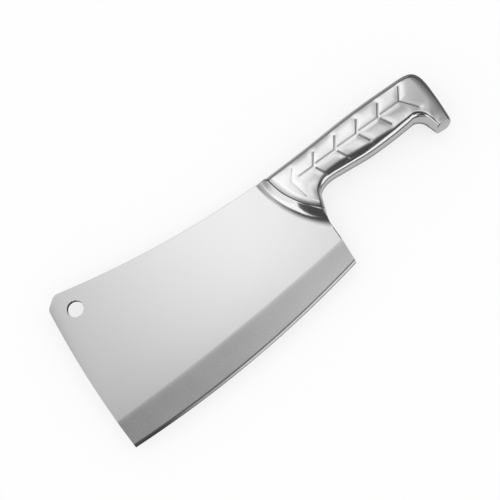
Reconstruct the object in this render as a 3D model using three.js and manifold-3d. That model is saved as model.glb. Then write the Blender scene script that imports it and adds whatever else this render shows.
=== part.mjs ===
// An all-steel cleaver: a ground blade, a cast bolster, and a hollow hooked handle of two pressed shells
// that are welded to each other and to the bolster.
// Millimetres. X runs along the cutting edge from the toe to the heel and on to the handle, Y from the
// edge to the spine, Z through the thickness. The shapes are drawn from the heel corner, on the mid plane.
import * as THREE from "three";
import { mergeVertices } from "three/addons/utils/BufferGeometryUtils.js";
import Module from "manifold-3d";

const wasm = await Module();
wasm.setup();

// Blade
const EDGE_LENGTH = 186; // toe to heel, along X
const TOE_DROP = 1.2; // how much lower the toe is than the heel
const EDGE_BELLY = 5.6; // how far the edge swells below the straight line from toe to heel
const BLADE_THICKNESS = 4;
const FRONT_HEIGHT = 114.9; // corner of front and spine over the heel, before that corner is clipped
const FRONT_RAKE = 12; // how far the front leans back over its height
const FRONT_BOW = 2.6;
const SPINE_HOLLOW = 5.8;
const CLIP_ALONG_FRONT = 9.6;
const CLIP_ALONG_SPINE = 7.6;
const CLIP_ROUND = 6;
const HEEL_RISE = 30; // heel corner to the bolster's tail
const HEEL_LEAN = 4.8; // how far the heel leans to the handle over that rise
const GRIND_AT_HEEL = 16.7; // height of the grind's upper line over the heel
const GRIND_AT_TOE = 18.6;
const GRIND_SAG = 2.6;
const EDGE_BEVEL = 1.8; // width of the fine bevel below the grind
const SHOULDER_THICKNESS = 1.4; // steel left where the grind meets the fine bevel
const EDGE_THICKNESS = 0.2;
const HOLE_DIAMETER = 11.3;
const HOLE_FROM_FRONT = 12.7; // hole centre from the unclipped corner
const HOLE_FROM_TOP = 19.1;
const TANG_LENGTH = 34; // from the bolster's front line, along X
const TANG_DEPTH = 17;

// Bolster
const BOLSTER_FRONT = 14.6; // front line at the spine, from the heel corner towards the toe
const BOLSTER_WIDTH = 4.9; // front line to mouth at the spine
const BOLSTER_HEIGHT = 82.6; // spine over the heel, at the bolster
const TAIL_RISE = 9.8; // bolster's tail on the heel to the mouth's lower end
const TAIL_LEAN = 2.4;
const TAIL_HOLLOW = 1.2; // how far the belly is drawn in at the bolster
const TAIL_FLARE = 1.2; // how far it flares out just behind the mouth
const FRONT_LINE_BULGE = 5.3;
const MOUTH_BULGE = 5.4;
const SEAT_DEPTH = 3; // how far the blade reaches into the bolster
const BEAD_PROUD = 0.4; // bolster over the shells at the mouth
const SPIGOT_LENGTH = 5;
const FILLET_WELD = 2.2;
const WELD_TOE = 0.15; // thickness of the fillet weld where it runs out on the blade
const RAMP_HOLLOW = 0.85; // form of the bolster's ramp: under 1 it rises early, over 1 it stays hollow

// Handle
const HANDLE_LENGTH = 131.5; // bolster's front line to the end of the butt, at the back
const BACK_FALL = 4.8; // how far the back line falls over that length
const WAIST_DEPTH = 27.1; // back to belly behind the bolster
const WAIST_FROM_MOUTH = 31.5;
const WAIST_FLARE = 3.2; // how much deeper the handle is halfway from the waist to the bolster
const PALM_DEPTH = 30.8; // back to belly where the palm lies
const PALM_FROM_WAIST = 50.5;
const HOOK_DROP = 45.1; // back line to the tip of the hook
const HOOK_WIDTH = 11; // across the tip
const HOOK_THROAT = 17.8; // end of the butt to the inside of the hook
const HOOK_RADIUS = 8; // inside the hook
const TIP_SLANT = 1.5; // how much further the hook's outer corner drops than its inner one
const BUTT_TUCK = 5.6; // how far the butt leans in from its corner to the hook's tip
const BUTT_BOW = 1;
const BUTT_ROUND_BACK = 20; // where the butt's corner leaves the back line
const BUTT_ROUND_END = 8; // where it reaches the butt's end
const MOUTH_THICKNESS = 16.6;
const GRIP_THICKNESS = 19.2;
const TIP_THICKNESS = 18;
const CORNER_RADIUS = 4.5;
const SIDE_CROWN = 1.1;
const SHELL_WALL = 1.2;
const TIP_ROUND = 0.9;
const TIP_RUN = 4; // straight length before the tip

// Grip grooves
const CHEVRON_COUNT = 6;
const CHEVRON_PITCH = 18.3;
const FIRST_CHEVRON = 11.2; // mouth to the first vertex
const RIB_DEPTH = 14.3; // back line to the middle groove
const GROOVE_WIDTH = 1.7;
const GROOVE_DEPTH = 0.55;
const UPPER_ARM = 10;
const UPPER_ARM_ANGLE = 52; // degrees from the handle's line, to the butt
const LOWER_ARM_START = 2.6;
const LOWER_ARM = 8;
const LOWER_ARM_ANGLE = 70;
const END_ARM = 14; // the longer lower arm of the first and last chevron
const END_ARM_SPREAD = 11; // degrees that these two arms spread apart
const RIB_START = 7; // first vertex to the start of the middle groove

// Welds and fits
const SEAM_WIDTH = 1.5;
const MOUTH_WELD_WIDTH = 1;
const MOUTH_WELD_SUNK = 0.4;
const FIT = 0.3; // clearance between pieces that touch

// Smoothness
const ARC_STEP = 6; // degrees
const CORNER_STEPS = 4;
const SIDE_STEPS = 6;
const STATION_STEPS = 2;
const HOLE_SIDES = 40;
const GROOVE_SIDES = 8;
const GROOVE_END_STEPS = 2;
const EDGE_STEPS = 24;
const SPINE_STEPS = 17;
const FRONT_STEPS = 10;
const RAMP_STEPS = 8;

const vec = (x, y) => new THREE.Vector2(x, y);
const REACH = 400; // size of cutting shapes, past the whole object

// Solids

function solid(geometry) {
  const bare = geometry.clone();
  bare.deleteAttribute("normal");
  bare.deleteAttribute("uv");
  const merged = mergeVertices(bare, 1e-4);
  const triVerts = new Uint32Array(merged.index.array);
  return new wasm.Manifold(
    new wasm.Mesh({ numProp: 3, vertProperties: merged.attributes.position.array, triVerts }),
  );
}

function geometryOf(manifold) {
  const mesh = manifold.getMesh();
  const geometry = new THREE.BufferGeometry();
  geometry.setAttribute("position", new THREE.BufferAttribute(mesh.vertProperties, 3));
  geometry.setIndex(new THREE.BufferAttribute(mesh.triVerts, 1));
  return geometry;
}

function slab(outline, low, high) {
  const geometry = new THREE.ExtrudeGeometry(new THREE.Shape(outline), {
    depth: high - low,
    bevelEnabled: false,
  });
  return solid(geometry.translate(0, 0, low));
}

// Everything between two heights.
function layer(low, high) {
  return slab([vec(-REACH, -REACH), vec(REACH, -REACH), vec(REACH, REACH), vec(-REACH, REACH)], low, high);
}

// A closed body through rings of points that all have the same count, with a flat cap on each end.
// The rings may run either way round: the faces are turned to point out.
function loft(rings) {
  const count = rings[0].length;
  const points = rings.flat();
  const index = [];
  for (let r = 0; r + 1 < rings.length; r++) {
    for (let i = 0; i < count; i++) {
      const a = r * count + i;
      const b = r * count + ((i + 1) % count);
      index.push(a, b, b + count, a, b + count, a + count);
    }
  }
  for (const [r, turned] of [[0, true], [rings.length - 1, false]]) {
    const ring = rings[r];
    const middle = ring.reduce((sum, p) => sum.add(p), new THREE.Vector3()).divideScalar(count);
    points.push(middle);
    for (let i = 0; i < count; i++) {
      const a = r * count + i;
      const b = r * count + ((i + 1) % count);
      index.push(points.length - 1, turned ? b : a, turned ? a : b);
    }
  }
  let volume = 0;
  for (let i = 0; i < index.length; i += 3) {
    const [a, b, c] = index.slice(i, i + 3).map((n) => points[n]);
    volume += a.dot(b.clone().cross(c));
  }
  const geometry = new THREE.BufferGeometry().setFromPoints(points);
  geometry.setIndex(volume > 0 ? index : index.reverse());
  return solid(geometry);
}

// Outlines

// Points of the circular arc from one point to another that bulges to the right of that way.
function arc(from, to, bulge) {
  const middle = from.clone().add(to).divideScalar(2);
  const half = from.distanceTo(to) / 2;
  const radius = (half * half + bulge * bulge) / (2 * bulge);
  const way = to.clone().sub(from).normalize();
  const centre = middle.add(vec(-way.y, way.x).multiplyScalar(radius - bulge));
  const start = from.clone().sub(centre).angle();
  const sweep = 2 * Math.asin(half / Math.abs(radius)) * Math.sign(bulge);
  return { centre, radius: Math.abs(radius), start, sweep };
}

// A point on an arc or past its ends, with a share of its sweep and a distance inside its radius.
function along(line, share, inside = 0) {
  const angle = line.start + line.sweep * share;
  const radius = line.radius - inside;
  return vec(line.centre.x + radius * Math.cos(angle), line.centre.y + radius * Math.sin(angle));
}

const arcLength = (line) => line.radius * Math.abs(line.sweep);

function arcPoints(line, steps, from = 0, to = 1) {
  return Array.from({ length: steps + 1 }, (_, i) => along(line, from + ((to - from) * i) / steps));
}

// A rounded corner: the points of the fillet between the ways to the corner's two neighbours.
function rounded(before, corner, after, radius) {
  const back = before.clone().sub(corner).normalize();
  const on = after.clone().sub(corner).normalize();
  const half = Math.acos(back.dot(on)) / 2;
  const setback = radius / Math.tan(half);
  const from = corner.clone().addScaledVector(back, setback);
  const to = corner.clone().addScaledVector(on, setback);
  const turn = Math.sign(on.cross(back));
  const bulge = radius * (1 - Math.sin(half)) * turn;
  const degrees = 180 - 2 * THREE.MathUtils.radToDeg(half);
  return arcPoints(arc(from, to, bulge), Math.ceil(degrees / (2 * ARC_STEP)));
}

// Reference points
const heel = vec(0, 0);
const toe = vec(-EDGE_LENGTH, -TOE_DROP);
const frontCorner = vec(-EDGE_LENGTH + FRONT_RAKE, FRONT_HEIGHT);
const bolsterTop = vec(-BOLSTER_FRONT, BOLSTER_HEIGHT);
const bolsterTail = vec(HEEL_LEAN, HEEL_RISE);
const mouthTop = vec(-BOLSTER_FRONT + BOLSTER_WIDTH, BOLSTER_HEIGHT);
const mouthTail = vec(HEEL_LEAN + TAIL_LEAN, HEEL_RISE + TAIL_RISE);
const buttEnd = -BOLSTER_FRONT + HANDLE_LENGTH;
const frontLine = arc(bolsterTop, bolsterTail, FRONT_LINE_BULGE);
const mouthLine = arc(mouthTop, mouthTail, MOUTH_BULGE);

// Height of the handle's straight back line.
const backLine = (x) => BOLSTER_HEIGHT - (BACK_FALL * (x + BOLSTER_FRONT)) / HANDLE_LENGTH;

// Everything on the handle's side of an arc that runs down past the bolster.
function behind(line, inside) {
  const outline = [];
  const past = 0.5;
  const steps = Math.ceil(THREE.MathUtils.radToDeg((1 + 2 * past) * line.sweep) / ARC_STEP);
  for (let i = 0; i <= steps; i++) {
    outline.push(along(line, -past + ((1 + 2 * past) * i) / steps, inside));
  }
  const [top, bottom] = [outline[0], outline.at(-1)];
  outline.push(vec(bottom.x, -REACH), vec(REACH, -REACH), vec(REACH, REACH), vec(top.x, REACH));
  return slab(outline, -REACH, REACH);
}

// Blade

function bladeOutline() {
  const edge = arcPoints(arc(toe, heel, EDGE_BELLY), EDGE_STEPS);
  const front = arc(frontCorner, toe, FRONT_BOW);
  const spine = arc(vec(heel.x, bolsterTop.y), frontCorner, -SPINE_HOLLOW);
  const frontShare = (length) => length / arcLength(front);
  const spineShare = (length) => 1 - length / arcLength(spine);
  const spineLine = arcPoints(spine, SPINE_STEPS, 0, spineShare(CLIP_ALONG_SPINE + CLIP_ROUND));
  const frontLow = arcPoints(front, FRONT_STEPS, frontShare(CLIP_ALONG_FRONT + CLIP_ROUND), 1);
  const onSpine = along(spine, spineShare(CLIP_ALONG_SPINE));
  const onFront = along(front, frontShare(CLIP_ALONG_FRONT));
  const clip = [
    ...rounded(spineLine.at(-1), onSpine, onFront, CLIP_ROUND),
    ...rounded(onSpine, onFront, frontLow[0], CLIP_ROUND),
  ];
  const heelTop = heel.clone().lerp(bolsterTail, BOLSTER_HEIGHT / HEEL_RISE / 2);
  return [...edge, heelTop, ...spineLine, ...clip, ...frontLow.slice(0, -1)];
}

// What the two grinds take away on one face, as a loft along the edge.
function grindCut(side) {
  const steps = 20;
  const edge = arc(toe, heel, EDGE_BELLY);
  const overrun = 0.1;
  const rings = [];
  for (let i = 0; i <= steps; i++) {
    const share = -overrun + ((1 + 2 * overrun) * i) / steps;
    const low = along(edge, share);
    const sag = 4 * share * (1 - share) * GRIND_SAG;
    const top = vec(low.x, THREE.MathUtils.lerp(GRIND_AT_TOE, GRIND_AT_HEEL, share) - sag);
    const profile = [
      [top.y, BLADE_THICKNESS / 2],
      [low.y + EDGE_BEVEL, SHOULDER_THICKNESS / 2],
      [low.y, EDGE_THICKNESS / 2],
      [low.y - EDGE_BEVEL, EDGE_THICKNESS / 2],
      [low.y - EDGE_BEVEL, BLADE_THICKNESS],
      [top.y, BLADE_THICKNESS],
    ];
    rings.push(profile.map(([y, z]) => new THREE.Vector3(low.x, y, side * z)));
  }
  return loft(rings);
}

// The tang runs into the middle of the handle's waist.
function tangOutline(clearance) {
  const middle = backLine(-BOLSTER_FRONT + TANG_LENGTH) - WAIST_DEPTH / 2;
  const low = middle - TANG_DEPTH / 2 - clearance;
  const high = middle + TANG_DEPTH / 2 + clearance;
  const end = -BOLSTER_FRONT + TANG_LENGTH + clearance;
  return [vec(-BOLSTER_FRONT, low), vec(end, low), vec(end, high), vec(-BOLSTER_FRONT, high)];
}

function bladeSolid() {
  const half = BLADE_THICKNESS / 2;
  const radius = HOLE_DIAMETER / 2;
  const hole = new THREE.CylinderGeometry(radius, radius, BLADE_THICKNESS * 2, HOLE_SIDES);
  hole.rotateX(Math.PI / 2);
  hole.translate(frontCorner.x + HOLE_FROM_FRONT, frontCorner.y - HOLE_FROM_TOP, 0);
  return slab(bladeOutline(), -half, half)
    .subtract(behind(frontLine, SEAT_DEPTH))
    .add(slab(tangOutline(0), -half, half))
    .subtract(grindCut(1))
    .subtract(grindCut(-1))
    .subtract(solid(hole));
}

// Handle

// Matching points on the back and the belly, from inside the bolster to the tip of the hook, with the
// thickness there. Curves through them are the handle's outline, and the body is a loft between the two.
// The shares and angles in the list only say where the two curves are tied to each other.
function handleStations() {
  const blend = THREE.MathUtils.lerp;
  const back = (x) => vec(x, backLine(x));
  const belly = (x, depth) => vec(x, backLine(x) - depth);
  const mouth = mouthTop.x;
  const waist = mouth + WAIST_FROM_MOUTH;
  const palm = waist + PALM_FROM_WAIST;
  const corner = back(buttEnd);
  const tipBack = vec(buttEnd - BUTT_TUCK, corner.y - HOOK_DROP);
  const tipFront = vec(tipBack.x - HOOK_WIDTH, tipBack.y + TIP_SLANT);
  const endWay = tipBack.clone().sub(corner).normalize();
  const bendEnd = corner.clone().addScaledVector(endWay, BUTT_ROUND_END);
  const bend = new THREE.QuadraticBezierCurve(back(buttEnd - BUTT_ROUND_BACK), corner, bendEnd);
  const butt = arc(tipBack, bendEnd, BUTT_BOW);
  const throat = vec(buttEnd - HOOK_THROAT - HOOK_RADIUS, backLine(palm) - PALM_DEPTH - HOOK_RADIUS);
  const inHook = (angle) => {
    const turn = THREE.MathUtils.degToRad(angle);
    return vec(throat.x + HOOK_RADIUS * Math.cos(turn), throat.y + HOOK_RADIUS * Math.sin(turn));
  };
  const hookSide = (share) => inHook(0).lerp(tipFront, share);
  const tipRise = hookSide(1 - TIP_RUN / inHook(0).distanceTo(tipFront));
  const grip = (share) => blend(waist, palm, share);
  const gripDepth = (share) => blend(WAIST_DEPTH, PALM_DEPTH, share);
  const thickness = (share) => blend(MOUTH_THICKNESS, GRIP_THICKNESS, share);
  const tail = (share, out) => bolsterTail.clone().lerp(mouthTail, share).add(vec(out, 0));
  const flare = belly(blend(mouth, waist, 0.74), WAIST_DEPTH + WAIST_FLARE);
  return [
    [back(mouth - 2.2 * BOLSTER_WIDTH), tail(-0.7, 0), MOUTH_THICKNESS],
    [back(mouth - 0.4 * BOLSTER_WIDTH), tail(0.4, -TAIL_HOLLOW), MOUTH_THICKNESS],
    [back(mouth + 1.2 * BOLSTER_WIDTH), tail(1.4, TAIL_FLARE), MOUTH_THICKNESS],
    [back(blend(mouth, waist, 0.55)), flare, thickness(0.15)],
    [back(grip(0)), belly(grip(0), WAIST_DEPTH), thickness(0.4)],
    [back(grip(0.3)), belly(grip(0.3), gripDepth(0.3)), thickness(0.75)],
    [back(grip(0.64)), belly(grip(0.64), gripDepth(0.86)), thickness(1)],
    [back(palm), belly(palm, PALM_DEPTH), thickness(1)],
    [bend.getPoint(0), inHook(105), thickness(1)],
    [bend.getPoint(0.3), inHook(72), thickness(1)],
    [bend.getPoint(0.6), inHook(45), thickness(1)],
    [bend.getPoint(1), inHook(18), thickness(1)],
    [along(butt, 0.5), hookSide(0.1), thickness(1)],
    [along(butt, TIP_RUN / arcLength(butt)), tipRise, TIP_THICKNESS],
    [tipBack, tipFront, TIP_THICKNESS],
  ];
}

const stations = handleStations();
const backCurve = new THREE.CatmullRomCurve3(stations.map(([p]) => new THREE.Vector3(p.x, p.y, 0)));
const bellyCurve = new THREE.CatmullRomCurve3(stations.map(([, p]) => new THREE.Vector3(p.x, p.y, 0)));
const thicknessCurve = new THREE.SplineCurve(stations.map(([, , t], i) => vec(i, t)));

// The rounded, slightly crowned section between a back point and a belly point, sunk by an inset.
function handleSection(share, inset) {
  const back = backCurve.getPoint(share);
  const belly = bellyCurve.getPoint(share);
  const across = back.clone().sub(belly).normalize();
  const middle = back.clone().add(belly).divideScalar(2);
  const halfWidth = back.distanceTo(belly) / 2 - inset;
  const halfThick = thicknessCurve.getPoint(share).y / 2 - inset;
  const mostCorner = 0.8; // share of the half width that the rounded corner may take
  const radius = Math.min(Math.max(CORNER_RADIUS - inset, SHELL_WALL), halfWidth * mostCorner);
  const slope = Math.atan((2 * SIDE_CROWN) / Math.max(halfWidth - radius, CORNER_RADIUS));
  const sideEnd = halfWidth - radius + radius * Math.sin(slope);
  const crown = (sideEnd * Math.tan(slope)) / 2;
  const sideHeight = (u) => halfThick - crown * (u / sideEnd) ** 2;
  return { back, belly, across, middle, halfWidth, radius, slope, sideEnd, sideHeight };
}

function handleRing(share, inset) {
  const { across, middle, halfWidth, radius, slope, sideEnd, sideHeight } = handleSection(share, inset);
  const level = sideHeight(sideEnd) - radius * Math.cos(slope);
  const quarter = [];
  for (let i = 0; i <= CORNER_STEPS; i++) {
    const angle = ((Math.PI / 2 - slope) * i) / CORNER_STEPS;
    quarter.push([halfWidth - radius + radius * Math.cos(angle), level + radius * Math.sin(angle)]);
  }
  for (let i = 1; i <= SIDE_STEPS / 2; i++) {
    const u = sideEnd * (1 - (2 * i) / SIDE_STEPS);
    quarter.push([u, sideHeight(u)]);
  }
  const upper = [...quarter, ...quarter.slice(0, -1).reverse().map(([u, z]) => [-u, z])];
  const lower = upper.slice().reverse().map(([u, z]) => [u, -z]);
  return [...upper, ...lower].map(([u, z]) => middle.clone().addScaledVector(across, u).setZ(z));
}

// The handle's full outer form, or the same form with all its walls sunk by an inset.
function handleBody(inset) {
  const spans = stations.length - 1;
  const last = 1 - (inset + TIP_ROUND) / TIP_RUN / spans;
  const steps = spans * STATION_STEPS;
  const rings = [];
  for (let i = 0; i <= steps; i++) {
    rings.push(handleRing((last * i) / steps, inset));
  }
  const end = rings.at(-1);
  const way = end[0].clone().sub(rings.at(-2)[0]).normalize();
  rings.push(handleRing(last, inset + TIP_ROUND / 2).map((p) => p.addScaledVector(way, TIP_ROUND)));
  return loft(rings);
}

// A point of the outline plane raised to the handle's side.
function onSide(point) {
  const halvings = 30;
  let low = 0;
  let high = 1;
  for (let i = 0; i < halvings; i++) {
    const share = (low + high) / 2;
    const { belly, across } = handleSection(share, 0);
    const ahead = across.x * (point.y - belly.y) - across.y * (point.x - belly.x);
    if (ahead < 0) low = share;
    else high = share;
  }
  const { across, middle, sideHeight } = handleSection(low, 0);
  const u = across.x * (point.x - middle.x) + across.y * (point.y - middle.y);
  return new THREE.Vector3(point.x, point.y, sideHeight(u));
}

// A groove tool: a round bar along a line on the handle's side, standing off so that it cuts one depth.
function grooveBar(from, to, grow) {
  const radius = (GROOVE_WIDTH * GROOVE_WIDTH) / (8 * GROOVE_DEPTH) + GROOVE_DEPTH / 2;
  const [start, end] = [onSide(from), onSide(to)];
  const way = end.clone().sub(start);
  const bar = new THREE.CapsuleGeometry(radius + grow, way.length(), GROOVE_END_STEPS, GROOVE_SIDES, 1);
  const turn = new THREE.Quaternion().setFromUnitVectors(new THREE.Vector3(0, 1, 0), way.normalize());
  bar.applyQuaternion(turn);
  const middle = start.add(end).divideScalar(2);
  bar.translate(middle.x, middle.y, middle.z + radius - GROOVE_DEPTH);
  return solid(bar);
}

const handleOuter = handleBody(0);
const handleInner = handleBody(SHELL_WALL);

// The lines of the grip: chevrons that point to the blade, and the middle groove that joins them.
function gripLines() {
  const onRib = (distance) => vec(mouthTop.x + distance, backLine(mouthTop.x + distance) - RIB_DEPTH);
  const from = (point, angle, length) => {
    const turn = THREE.MathUtils.degToRad(angle);
    return vec(point.x + length * Math.cos(turn), point.y + length * Math.sin(turn));
  };
  const lines = [];
  for (let i = 0; i < CHEVRON_COUNT; i++) {
    const vertex = onRib(FIRST_CHEVRON + i * CHEVRON_PITCH);
    const first = i === 0;
    const last = i === CHEVRON_COUNT - 1;
    const lowerAngle = -LOWER_ARM_ANGLE + (last ? END_ARM_SPREAD : 0) - (first ? END_ARM_SPREAD : 0);
    const lowerStart = first || last ? 0 : LOWER_ARM_START;
    const lowerEnd = first || last ? END_ARM : LOWER_ARM_START + LOWER_ARM;
    lines.push([vertex, from(vertex, UPPER_ARM_ANGLE, UPPER_ARM)]);
    lines.push([from(vertex, lowerAngle, lowerStart), from(vertex, lowerAngle, lowerEnd)]);
    if (first) continue;
    const before = FIRST_CHEVRON + (i === 1 ? RIB_START : (i - 1) * CHEVRON_PITCH);
    lines.push([onRib(before), vertex]);
  }
  return lines;
}

function grooveSet(side, grow) {
  const bars = gripLines()
    .map(([from, to]) => grooveBar(from, to, grow))
    .reduce((all, bar) => all.add(bar));
  return side > 0 ? bars : bars.mirror([0, 0, 1]);
}

function shellSolid(side) {
  const low = SEAM_WIDTH / 2 + FIT;
  const half = side > 0 ? layer(low, REACH) : layer(-REACH, -low);
  const cavity = handleInner.subtract(grooveSet(side, SHELL_WALL));
  return handleOuter
    .subtract(grooveSet(side, 0))
    .subtract(cavity)
    .intersect(half)
    .intersect(behind(mouthLine, FIT + MOUTH_WELD_WIDTH + FIT));
}

function seamWeldSolid() {
  return handleOuter
    .subtract(handleInner)
    .intersect(layer(-SEAM_WIDTH / 2, SEAM_WIDTH / 2))
    .intersect(behind(mouthLine, FIT + MOUTH_WELD_WIDTH + FIT));
}

function mouthWeldSolid() {
  return handleBody(MOUTH_WELD_SUNK)
    .subtract(handleInner)
    .intersect(behind(mouthLine, FIT))
    .subtract(behind(mouthLine, FIT + MOUTH_WELD_WIDTH));
}

// Bolster

// A body along the crescent between the front line and the mouth line, from a profile of shares and heights.
function crescent(profile) {
  const past = 0.25;
  const steps = 18;
  const rings = [];
  for (let i = 0; i <= steps; i++) {
    const share = -past + ((1 + 2 * past) * i) / steps;
    const front = along(frontLine, share);
    const mouth = along(mouthLine, share);
    const width = front.distanceTo(mouth);
    rings.push(
      profile(width).map(([across, z]) => {
        const p = front.clone().lerp(mouth, across / width);
        return new THREE.Vector3(p.x, p.y, z);
      }),
    );
  }
  return loft(rings);
}

// Height of the bolster's ramp from the blade's face to the mouth: hollow, then round.
function rampHeight(across, width) {
  const low = BLADE_THICKNESS / 2;
  const high = MOUTH_THICKNESS / 2 + BEAD_PROUD;
  return low + (high - low) * THREE.MathUtils.smoothstep((across / width) ** RAMP_HOLLOW, 0, 1);
}

function bolsterSolid() {
  const ramp = crescent((width) => {
    const upper = Array.from({ length: RAMP_STEPS + 1 }, (_, i) => {
      const across = FILLET_WELD + ((width - FILLET_WELD) * i) / RAMP_STEPS;
      return [across, rampHeight(across, width)];
    });
    const lower = upper.slice().reverse().map(([across, z]) => [across, -z]);
    return [...upper, ...lower];
  });
  const slot = BLADE_THICKNESS / 2 + FIT;
  const seat = layer(-slot, slot).subtract(behind(frontLine, SEAT_DEPTH + FIT));
  const tangSlot = slab(tangOutline(FIT), -slot, slot);
  const spigot = handleBody(SHELL_WALL + FIT)
    .subtract(behind(mouthLine, SPIGOT_LENGTH))
    .intersect(behind(mouthLine, -BOLSTER_WIDTH / 4))
    .subtract(grooveSet(1, SHELL_WALL + FIT))
    .subtract(grooveSet(-1, SHELL_WALL + FIT));
  return ramp
    .intersect(handleBody(-BEAD_PROUD))
    .add(spigot)
    .subtract(seat)
    .subtract(tangSlot);
}

function filletWeldSolid(side) {
  const low = BLADE_THICKNESS / 2 + FIT;
  const end = FILLET_WELD - FIT;
  const weld = crescent((width) => {
    const ring = [
      [0, low + WELD_TOE],
      [end / 2, rampHeight(end / 2, width) + FIT + WELD_TOE / 2],
      [end, rampHeight(end, width) + FIT],
      [end, low],
      [0, low],
    ];
    return ring.map(([across, z]) => [across, side * z]);
  });
  return weld.intersect(handleOuter);
}

// Assembly

const satin = { color: 0xb9bbbd, roughness: 0.38, metalness: 1 };
const polished = { color: 0xd6d7d8, roughness: 0.16, metalness: 1 };
const weldSteel = { color: 0xa9abad, roughness: 0.3, metalness: 1 };

const pieces = {
  blade: [bladeSolid(), satin],
  bolster: [bolsterSolid(), polished],
  handle_shell_left: [shellSolid(1), polished],
  handle_shell_right: [shellSolid(-1), polished],
  seam_weld: [seamWeldSolid(), polished],
  mouth_weld: [mouthWeldSolid(), weldSteel],
  bolster_weld_left: [filletWeldSolid(1), polished],
  bolster_weld_right: [filletWeldSolid(-1), polished],
};

const cleaver = new THREE.Group();
for (const [name, [body, look]] of Object.entries(pieces)) {
  const mesh = new THREE.Mesh(geometryOf(body), new THREE.MeshStandardMaterial(look));
  mesh.name = name;
  cleaver.add(mesh);
}

// The part's origin is under the middle of its box, lying on its right side.
const box = new THREE.Box3().setFromObject(cleaver);
const centre = box.getCenter(new THREE.Vector3());
cleaver.position.set(-centre.x, -centre.y, -box.min.z);

export default cleaver;
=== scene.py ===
import math

import bpy
import numpy as np
from mathutils import Matrix, Vector
from mathutils.geometry import delaunay_2d_cdt

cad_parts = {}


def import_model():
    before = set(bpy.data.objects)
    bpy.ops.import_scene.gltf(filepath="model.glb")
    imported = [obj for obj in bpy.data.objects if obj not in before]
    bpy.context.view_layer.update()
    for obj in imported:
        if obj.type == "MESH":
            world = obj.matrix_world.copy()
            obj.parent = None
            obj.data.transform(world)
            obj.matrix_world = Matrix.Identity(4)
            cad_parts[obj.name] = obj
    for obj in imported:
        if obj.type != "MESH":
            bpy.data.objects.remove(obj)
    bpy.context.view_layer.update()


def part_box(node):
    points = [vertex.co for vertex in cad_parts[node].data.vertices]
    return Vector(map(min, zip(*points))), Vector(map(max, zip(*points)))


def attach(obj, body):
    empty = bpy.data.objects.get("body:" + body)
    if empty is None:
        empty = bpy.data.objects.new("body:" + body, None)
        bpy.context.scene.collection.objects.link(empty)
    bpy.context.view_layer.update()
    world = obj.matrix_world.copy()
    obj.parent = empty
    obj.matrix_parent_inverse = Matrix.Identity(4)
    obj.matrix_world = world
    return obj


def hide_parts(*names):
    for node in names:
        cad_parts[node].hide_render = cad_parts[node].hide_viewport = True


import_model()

scene = bpy.context.scene
MM = 1000  # millimetres in a metre
BUMP_DISTANCE = 0.0001  # metres

# Sizes of the cleaver in millimetres, drawn from the heel corner on the middle plane as the solids are:
# X along the edge to the handle, Y from the edge to the spine, Z through the thickness.
# A name in _IN or _OUT is a pair: where a form starts to blend in or out, and where it has done so.

# Blade
EDGE_LENGTH, TOE_DROP, EDGE_BELLY = 186.0, 1.2, 5.6
BLADE_THICKNESS, SHOULDER_THICKNESS, EDGE_THICKNESS = 4.0, 1.4, 0.2
FRONT_HEIGHT, FRONT_RAKE, FRONT_BOW, SPINE_HOLLOW = 114.9, 12.0, 2.6, 5.8
CLIP_ALONG_FRONT, CLIP_ALONG_SPINE, CLIP_ROUND = 8.4, 7.4, 5.4
HEEL_RISE, HEEL_LEAN, HEEL_TUCK = 30.0, 4.8, 0.7
HOLE_DIAMETER, HOLE_FROM_FRONT, HOLE_FROM_TOP = 11.3, 12.7, 19.1
GRIND_AT_HEEL, GRIND_AT_TOE, GRIND_SAG, GRIND_HOLLOW, EDGE_BEVEL = 17.8, 19.5, 2.6, 0.3, 1.8
GRIND_BELOW = 40.0  # a height that the grind doesn't reach
GRIND_SOFT = 0.06  # share of the grind over which its upper line is blended into the plate
GRIND_ROWS = (0.0, 0.03, 0.06, 0.1, 0.15, 0.22, 0.4, 0.6, 0.8, 0.965)  # shares of the way down the grind
FINE_FACETS = ((0.12, 0.17), (0.78, 0.74), (1.0, 1.0))  # shares down the fine bevel and to the edge's thickness
EASED_EDGE, HEEL_EASED, HOLE_EASED = 0.3, 0.55, 0.15  # broken edges of the outline, the heel and the hole
UNDER_BOLSTER, UNDER_TAIL = 1.6, 1.06  # how far the plate runs in below the bolster, and its share of the heel
REAR_FROM, REAR_TO, SPINE_FROM = 0.95, 0.02, 0.09  # shares of the bolster's front line and of the spine
CLEAR_OF_GRIND = 0.5  # the front's points stop this far above the grind's end
PAINTED_RIM_SHADE_REACH, PAINTED_RIM_SHADE_STRENGTH = 4.0, 0.7  # how far the painted shade along the front rim reaches in, and how strong it is

# Bolster
BOLSTER_FRONT, BOLSTER_WIDTH, BOLSTER_HEIGHT = 14.6, 4.9, 82.6
TAIL_RISE, TAIL_LEAN, TAIL_HOLLOW, TAIL_FLARE = 9.8, 2.4, 1.2, 1.2
FRONT_LINE_BULGE, MOUTH_BULGE, BEAD_PROUD = 5.3, 5.4, 0.4
RAMP_HOLLOW, RAMP_ROLL = 1.15, 0.62  # how slowly the ramp starts, how far it rolls over
ROOF_SOFT = 0.35  # how softly the ramp meets the rounded ends
FILLET_REACH = 2.4  # how far the ground fillet runs out over the blade's face
FILLET_OUT = (0.12, 0.57)  # shares of the width over which the fillet's ground look ends
UPPER_END_OUT = (0.0, 0.32)  # shares of the length over which the upper end's painted shade and extra roughness end
UPPER_END_WITHIN, LOWER_END_WITHIN = (-0.3, 0.4), (1.3, 0.6)  # shares of the length between which the ends lie

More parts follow.
